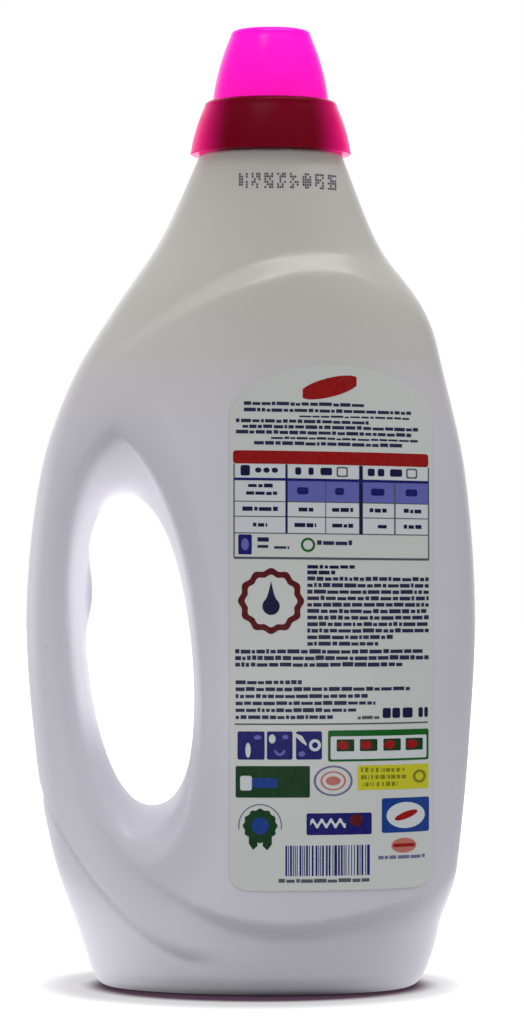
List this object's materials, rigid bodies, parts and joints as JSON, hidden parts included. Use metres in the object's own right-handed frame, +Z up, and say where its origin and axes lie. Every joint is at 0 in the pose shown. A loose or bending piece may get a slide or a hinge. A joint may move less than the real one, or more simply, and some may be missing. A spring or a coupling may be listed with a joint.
{
  "type": "laundry detergent bottle",
  "caption": "Flat teardrop-sided laundry detergent bottle with a moulded-through handle, a pouring collar and a screw-on dosing cup.",
  "frame": {"origin": "on the ground under the middle of the bottle's width and depth", "axes": "+Z up along the neck, -Y out of the labelled face, -X towards the handle"},
  "size_m": [0.1228, 0.0675, 0.262],
  "materials": {
    "body_white": "satin blow-moulded polyethylene",
    "label_film": "printed film, satin",
    "collar_crimson": "glossy dark crimson polypropylene",
    "seal_soft": "soft white foam polymer",
    "cap_magenta": "glossy translucent magenta polypropylene"
  },
  "bodies": {
    "bottle": {"bottle_body": "body_white", "back_label": "label_film", "spout_collar": "collar_crimson"},
    "seal": {"seal_ring": "seal_soft"},
    "cap": {"dosing_cap": "cap_magenta"}
  },
  "joints": [
    {"name": "cap_lift", "type": "slide", "parent": "bottle", "child": "seal", "axis": [0, 0, 1], "range_m": [0, 0.024]},
    {"name": "cap_turn", "type": "hinge", "parent": "seal", "child": "cap", "pos_m": [0.0055, 0, 0.241], "axis": [0, 0, 1], "range_deg": [0, 720]}
  ],
  "couplings": [
    {"joint": "cap_lift", "follows": "cap_turn", "m_per_rad": 0.0019098}
  ]
}
